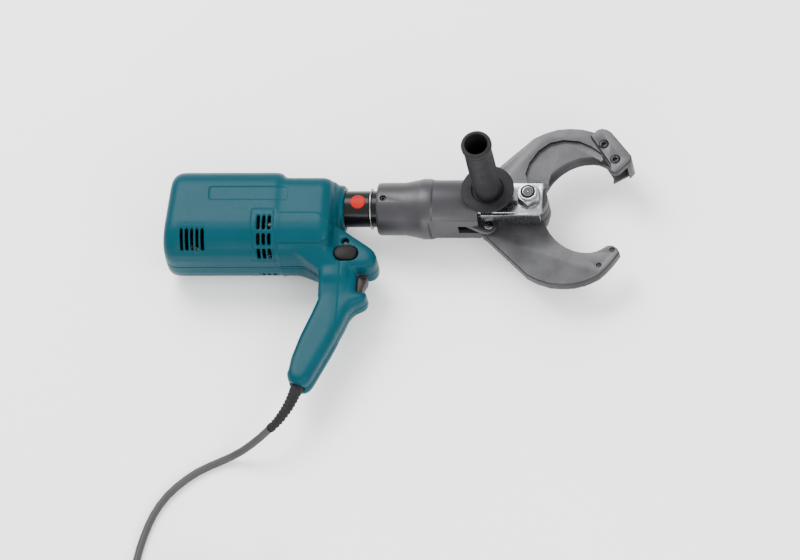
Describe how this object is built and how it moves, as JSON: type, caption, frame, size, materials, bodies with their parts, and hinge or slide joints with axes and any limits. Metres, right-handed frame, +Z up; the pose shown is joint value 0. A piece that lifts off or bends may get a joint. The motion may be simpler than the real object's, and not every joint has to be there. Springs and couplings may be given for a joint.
{
  "type": "hydraulic scissor cutter",
  "caption": "Corded electro-hydraulic bar cutter with curved scissor jaws, pistol grip and upright side handle, lying on its side.",
  "frame": {"origin": "centre of the flat end of the pivot bolt's head on the tool's far side, at floor level", "axes": "+X along the tool's axis towards the jaws, +Y towards the top of the motor body, +Z up, along the side handle and the blades' pivot axis"},
  "size_m": [0.5241, 0.6441, 0.1966],
  "materials": {
    "housing": "satin",
    "black": "matte",
    "trigger": "satin",
    "black_steel": "satin",
    "grey_steel": "satin",
    "blade": "ground",
    "bright": "plated",
    "laminate": "matte",
    "copper": "satin",
    "brass": "satin",
    "aluminium": "cast",
    "rubber": "matte",
    "cord": "matte"
  },
  "bodies": {
    "tool_body": {"housing_far": "housing", "housing_near": "housing", "housing_screw_1": "black_steel", "housing_screw_2": "black_steel", "housing_screw_3": "black_steel", "housing_screw_4": "black_steel", "motor_stator": "laminate", "field_coil_upper": "copper", "field_coil_lower": "copper", "brush_holder_upper": "brass", "brush_holder_lower": "brass", "carbon_brush_upper": "black", "carbon_brush_lower": "black", "rear_bearing": "bright", "front_bearing": "bright", "pump_block": "aluminium", "pump_plunger": "bright", "oil_bladder": "rubber", "switch_body": "black", "barrel": "black_steel", "snap_ring": "bright", "cord_clamp": "black", "strain_relief": "rubber", "cord": "cord", "cord_coil": "cord", "cord_tail": "cord", "plug_body": "black", "plug_pin_a": "brass", "plug_pin_b": "brass"},
    "rotor": {"rotor_shaft": "bright", "rotor_core": "laminate", "commutator": "copper", "cooling_fan": "black", "motor_pinion": "bright"},
    "gear": {"drive_gear": "bright", "eccentric_shaft": "bright"},
    "trigger_lever": {"trigger": "trigger"},
    "button": {"release_button": "trigger"},
    "head": {"sleeve": "grey_steel", "sleeve_screw": "black_steel", "yoke": "grey_steel", "pivot_bolt": "bright", "pivot_washer": "bright", "pivot_nut": "bright", "handle_bracket": "bright", "handle_stud": "bright", "handle_flange": "rubber", "handle_grip": "rubber"},
    "upper_blade": {"blade_upper": "blade", "tail_pin_upper": "bright", "blade_guide": "blade", "guide_screw_1": "black_steel", "guide_screw_2": "black_steel"},
    "lower_blade": {"blade_lower": "blade", "tail_pin_lower": "bright"},
    "upper_link": {"link_upper": "grey_steel"},
    "lower_link": {"link_lower": "grey_steel"},
    "ram_rod": {"ram": "bright", "piston_seal": "rubber", "ram_pin": "bright"}
  },
  "joints": [
    {"name": "rotor_spin", "type": "hinge", "parent": "tool_body", "child": "rotor", "pos_m": [-0.32, -0.017, 0.046], "axis": [1, 0, 0], "continuous": true},
    {"name": "gear_spin", "type": "hinge", "parent": "tool_body", "child": "gear", "pos_m": [-0.264, 0, 0.046], "axis": [1, 0, 0], "continuous": true},
    {"name": "trigger_pull", "type": "slide", "parent": "tool_body", "child": "trigger_lever", "axis": [-1, 0, 0], "range_m": [0, 0.006], "stiffness_N_per_m": 900},
    {"name": "release_press", "type": "slide", "parent": "tool_body", "child": "button", "axis": [0, 0, -1], "range_m": [0, 0.003], "stiffness_N_per_m": 1500},
    {"name": "head_swivel", "type": "hinge", "parent": "tool_body", "child": "head", "pos_m": [-0.165, 0, 0.046], "axis": [1, 0, 0], "range_deg": [-90, 90]},
    {"name": "upper_blade_close", "type": "hinge", "parent": "head", "child": "upper_blade", "pos_m": [0, 0, 0.046], "axis": [0, 0, -1], "range_deg": [0, 54]},
    {"name": "lower_blade_close", "type": "hinge", "parent": "head", "child": "lower_blade", "pos_m": [0, 0, 0.046], "axis": [0, 0, 1], "range_deg": [0, 54]},
    {"name": "upper_link_swing", "type": "hinge", "parent": "upper_blade", "child": "upper_link", "pos_m": [-0.04544, 0.02315, 0.046], "axis": [0, 0, 1], "range_deg": [0, 84.6]},
    {"name": "lower_link_swing", "type": "hinge", "parent": "lower_blade", "child": "lower_link", "pos_m": [-0.04544, -0.02315, 0.046], "axis": [0, 0, -1], "range_deg": [0, 84.6]},
    {"name": "ram_extend", "type": "slide", "parent": "head", "child": "ram_rod", "axis": [1, 0, 0], "range_m": [0, 0.057]}
  ],
  "couplings": [
    {"joint": "gear_spin", "follows": "rotor_spin", "ratio": -0.54545},
    {"joint": "lower_blade_close", "follows": "upper_blade_close", "ratio": 1},
    {"joint": "upper_link_swing", "follows": "upper_blade_close", "ratio": 1.5659},
    {"joint": "lower_link_swing", "follows": "upper_blade_close", "ratio": 1.5659},
    {"joint": "ram_extend", "follows": "upper_blade_close", "m_per_rad": 0.06016}
  ]
}
